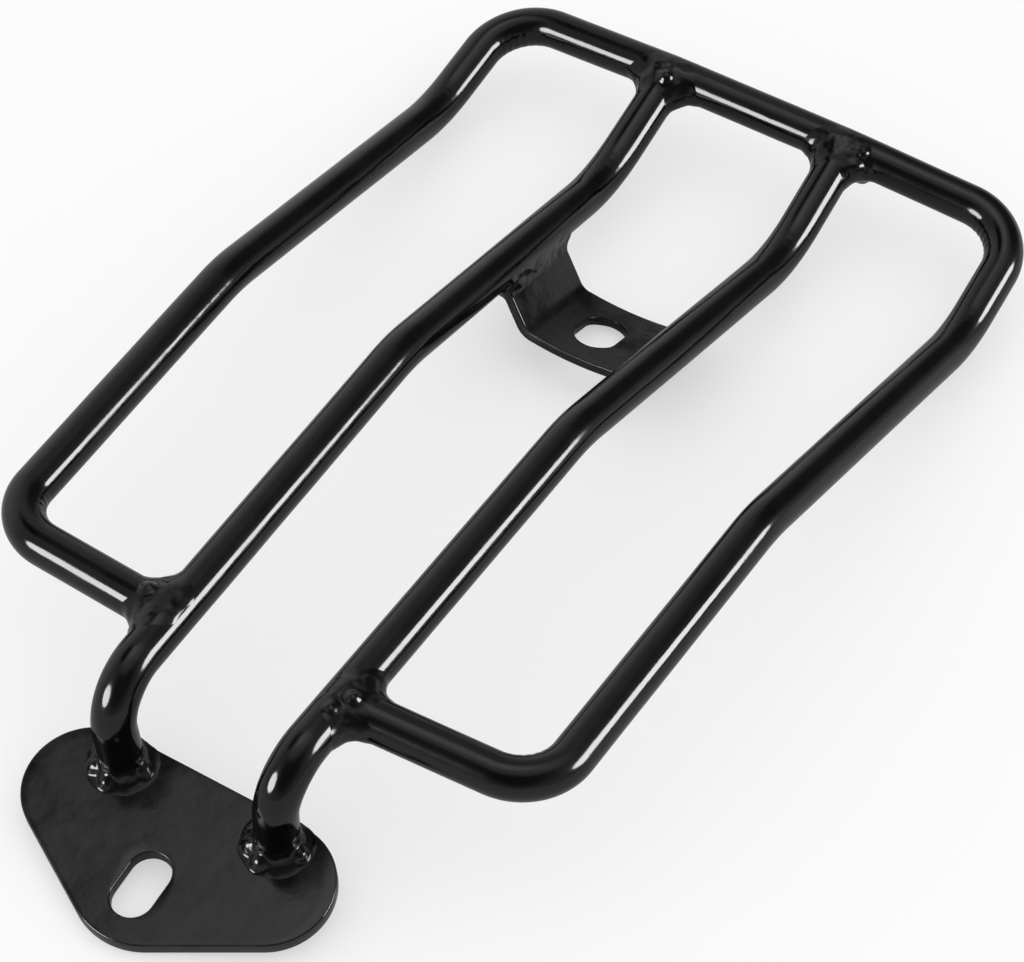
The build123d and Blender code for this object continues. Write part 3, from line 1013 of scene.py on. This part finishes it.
def add_surroundings(context):
    """A white room, which reflections see as a grey one with softly darker and paler patches."""
    world = bpy.data.worlds.new("Studio")
    context.scene.world = world
    world.use_nodes = True
    nodes, links = world.node_tree.nodes, world.node_tree.links
    nodes.clear()
    out = nodes.new("ShaderNodeOutputWorld")
    where = nodes.new("ShaderNodeTexCoord")
    level = nodes.new("ShaderNodeValue")
    level.outputs[0].default_value = ROOM_LEVEL
    total = level.outputs[0]
    for azimuth, elevation, spread, change in ROOM_PATCHES:
        aim = nodes.new("ShaderNodeVectorMath")
        aim.operation = "DOT_PRODUCT"
        aim.inputs[1].default_value = toward(azimuth, elevation)
        fade = nodes.new("ShaderNodeMapRange")
        fade.interpolation_type = "SMOOTHSTEP"
        fade.inputs["From Min"].default_value = math.cos(math.radians(spread))
        fade.inputs["From Max"].default_value = math.cos(math.radians(spread * 0.35))
        fade.inputs["To Max"].default_value = change
        add = nodes.new("ShaderNodeMath")
        add.operation = "ADD"
        links.new(where.outputs["Generated"], aim.inputs[0])
        links.new(aim.outputs["Value"], fade.inputs["Value"])
        links.new(total, add.inputs[0])
        links.new(fade.outputs["Result"], add.inputs[1])
        total = add.outputs[0]
    room = nodes.new("ShaderNodeBackground")
    room.inputs["Color"].default_value = (1, 1, 1, 1)
    links.new(total, room.inputs["Strength"])
    white = nodes.new("ShaderNodeBackground")
    white.inputs["Color"].default_value = (1, 1, 1, 1)
    white.inputs["Strength"].default_value = WHITE_LEVEL
    path = nodes.new("ShaderNodeLightPath")
    mix = nodes.new("ShaderNodeMixShader")
    links.new(path.outputs["Is Glossy Ray"], mix.inputs[0])
    links.new(white.outputs[0], mix.inputs[1])
    links.new(room.outputs[0], mix.inputs[2])
    links.new(mix.outputs[0], out.inputs["Surface"])


def add_softboxes(context):
    """Soft oval lights that give the tubes their long highlights."""
    middle = Vector((0, 0.18, 0.02))
    for name, azimuth, elevation, distance, width, height, brightness in SOFTBOXES:
        lamp = bpy.data.lights.new(name, "AREA")
        lamp.shape = "ELLIPSE"
        lamp.size, lamp.size_y = width, height
        lamp.energy = brightness * math.pi * (math.pi * width * height / 4)
        holder = bpy.data.objects.new(name, lamp)
        context.scene.collection.objects.link(holder)
        away = toward(azimuth, elevation)
        holder.location = middle + away * distance
        holder.rotation_euler = away.to_track_quat("Z", "Y").to_euler()
        holder.visible_diffuse = False


def add_camera(context):
    """The camera, matched to a long lens."""
    s = context.scene.rack_stage
    lens = bpy.data.cameras.new("rack_camera")
    lens.lens = s.camera_lens
    lens.sensor_width = 36.0
    lens.sensor_fit = "HORIZONTAL"
    lens.clip_start = 0.01
    camera = bpy.data.objects.new("rack_camera", lens)
    context.scene.collection.objects.link(camera)
    placed = Matrix.Translation(s.camera_place) @ Matrix.Rotation(s.camera_azimuth, 4, "Z")
    tipped = Matrix.Rotation(math.pi / 2 - s.camera_elevation, 4, "X")
    camera.matrix_world = placed @ tipped @ Matrix.Rotation(s.camera_roll, 4, "Z")
    context.scene.camera = camera
    context.scene.view_settings.view_transform = "Standard"


BUILD_ORDER = (
    "outer_hoop",
    "inner_rails",
    "mounting_plate",
    "rear_bracket",
    "tube_welds",
    "foot_welds",
    "bracket_welds",
    "stage",
)


class RACK_PT_panel(bpy.types.Panel):
    """Buttons that build the rack"""
    bl_label = "Luggage Rack"
    bl_idname = "RACK_PT_panel"
    bl_space_type = "VIEW_3D"
    bl_region_type = "UI"
    bl_category = "Rack"

    def draw(self, context):
        for step in BUILD_ORDER:
            self.layout.operator("rack." + step)


GROUPS = {
    "rack_tubes": RackTubeSizes,
    "rack_plates": RackPlateSizes,
    "rack_welds": RackWeldSizes,
    "rack_finish": RackFinish,
    "rack_stage": RackStage,
}
CLASSES = (
    RACK_OT_outer_hoop,
    RACK_OT_inner_rails,
    RACK_OT_mounting_plate,
    RACK_OT_rear_bracket,
    RACK_OT_tube_welds,
    RACK_OT_foot_welds,
    RACK_OT_bracket_welds,
    RACK_OT_stage,
    RACK_PT_panel,
)


def register():
    for name, group in GROUPS.items():
        bpy.utils.register_class(group)
        setattr(bpy.types.Scene, name, bpy.props.PointerProperty(type=group))
    for cls in CLASSES:
        bpy.utils.register_class(cls)


def unregister():
    for cls in reversed(CLASSES):
        bpy.utils.unregister_class(cls)
    for name, group in GROUPS.items():
        delattr(bpy.types.Scene, name)
        bpy.utils.unregister_class(group)


def main():
    """Builds every piece and the stage."""
    register()
    for step in BUILD_ORDER:
        getattr(bpy.ops.rack, step)()


if __name__ == "__main__":
    main()
